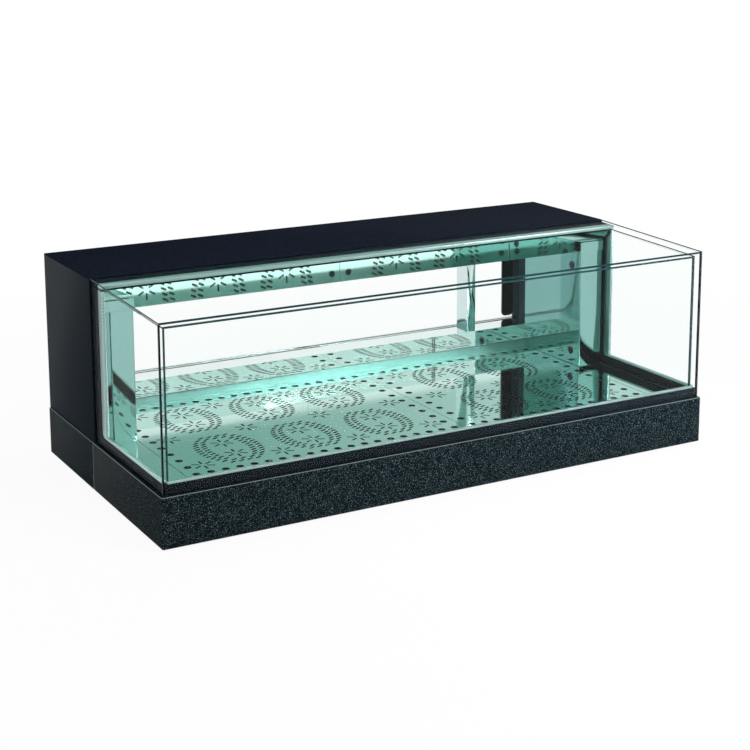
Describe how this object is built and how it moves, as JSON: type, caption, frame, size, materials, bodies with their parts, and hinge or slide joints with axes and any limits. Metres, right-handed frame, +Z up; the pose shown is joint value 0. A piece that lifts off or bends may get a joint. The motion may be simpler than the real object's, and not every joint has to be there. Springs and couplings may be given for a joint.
{
  "type": "refrigerated sushi display case",
  "caption": "Low countertop cooled display case with a glass front and top, perforated steel trays, a black rear cabinet and sliding rear doors.",
  "frame": {"origin": "on the counter under the middle of the case", "axes": "+X along the front to the viewer's right, +Y from the customer's side to the operator's side, +Z up"},
  "size_m": [0.9, 0.4576, 0.314],
  "materials": {
    "black_steel": "satin",
    "base_black": "fine texture",
    "polished_steel": "polished",
    "tray_steel": "polished",
    "plain_steel": "brushed",
    "aluminium": "satin",
    "black_aluminium": "satin",
    "glass": "clear",
    "edge_seal": "matt",
    "foam": "matt",
    "copper": "drawn",
    "black_plastic": "matt",
    "grey_plastic": "matt",
    "lens_plastic": "gloss",
    "diffuser_plastic": "matt",
    "pull_plastic": "satin",
    "rubber": "matt",
    "rocker_plastic": "gloss",
    "screw_steel": "plated"
  },
  "bodies": {
    "case": {"base_pan": "plain_steel", "front_plinth_cover": "base_black", "rear_plinth_sides": "base_black", "well_liner": "plain_steel", "base_insulation": "foam", "deck_plate": "polished_steel", "tray_support_bar": "plain_steel", "well_coil": "copper", "coil_saddles": "grey_plastic", "drain_tube": "plain_steel", "drain_nut": "grey_plastic", "rear_service_panel": "black_steel", "pipe_grommets": "rubber", "controller_body": "black_plastic", "controller_lens": "lens_plastic", "switch_housings": "black_plastic", "power_inlet": "black_plastic", "casing_screws": "screw_steel", "rubber_feet": "rubber", "front_outer_pane": "glass", "front_inner_pane": "glass", "top_outer_pane": "glass", "top_inner_pane": "glass", "left_outer_pane": "glass", "left_inner_pane": "glass", "right_outer_pane": "glass", "right_inner_pane": "glass", "pane_edge_seals": "edge_seal", "pane_spacers": "aluminium", "cabinet_side_left": "black_steel", "cabinet_side_right": "black_steel", "cabinet_top_panel": "black_steel", "ceiling_liner": "polished_steel", "cabinet_insulation": "foam", "end_wall_liner_left": "polished_steel", "end_wall_liner_right": "polished_steel", "wall_grommets": "rubber", "jamb_plates": "polished_steel", "front_valance": "polished_steel", "glass_support_angle": "black_aluminium", "led_bar": "aluminium", "led_diffuser": "diffuser_plastic", "rear_jambs": "black_aluminium", "rear_sill": "polished_steel", "lower_track": "aluminium", "upper_track": "aluminium", "support_post": "polished_steel"},
    "door_left": {"door_left_pane": "glass", "door_left_rail": "aluminium", "door_left_pull": "pull_plastic"},
    "door_right": {"door_right_pane": "glass", "door_right_rail": "aluminium", "door_right_pull": "pull_plastic"},
    "tray_left_body": {"tray_left": "tray_steel"},
    "tray_right_body": {"tray_right": "tray_steel"},
    "down_key": {"key_down": "grey_plastic"},
    "up_key": {"key_up": "grey_plastic"},
    "set_key": {"key_set": "grey_plastic"},
    "power_switch": {"power_rocker": "rocker_plastic"},
    "light_switch": {"light_rocker": "rocker_plastic"}
  },
  "joints": [
    {"name": "door_left_slide", "type": "slide", "parent": "case", "child": "door_left", "axis": [1, 0, 0], "range_m": [0, 0.39]},
    {"name": "door_right_slide", "type": "slide", "parent": "case", "child": "door_right", "axis": [-1, 0, 0], "range_m": [0, 0.39]},
    {"name": "tray_left_lift", "type": "slide", "parent": "case", "child": "tray_left_body", "axis": [0, 0, 1], "range_m": [0, 0.06]},
    {"name": "tray_right_lift", "type": "slide", "parent": "case", "child": "tray_right_body", "axis": [0, 0, 1], "range_m": [0, 0.06]},
    {"name": "down_key_press", "type": "slide", "parent": "case", "child": "down_key", "axis": [0, -1, 0], "range_m": [0, 0.0006], "stiffness_N_per_m": 300},
    {"name": "up_key_press", "type": "slide", "parent": "case", "child": "up_key", "axis": [0, -1, 0], "range_m": [0, 0.0006], "stiffness_N_per_m": 300},
    {"name": "set_key_press", "type": "slide", "parent": "case", "child": "set_key", "axis": [0, -1, 0], "range_m": [0, 0.0006], "stiffness_N_per_m": 300},
    {"name": "power_switch_tilt", "type": "hinge", "parent": "case", "child": "power_switch", "pos_m": [0.245, 0.22045, 0.0381], "axis": [1, 0, 0], "range_deg": [-14, 0]},
    {"name": "light_switch_tilt", "type": "hinge", "parent": "case", "child": "light_switch", "pos_m": [0.205, 0.22045, 0.0381], "axis": [1, 0, 0], "range_deg": [-14, 0]}
  ]
}
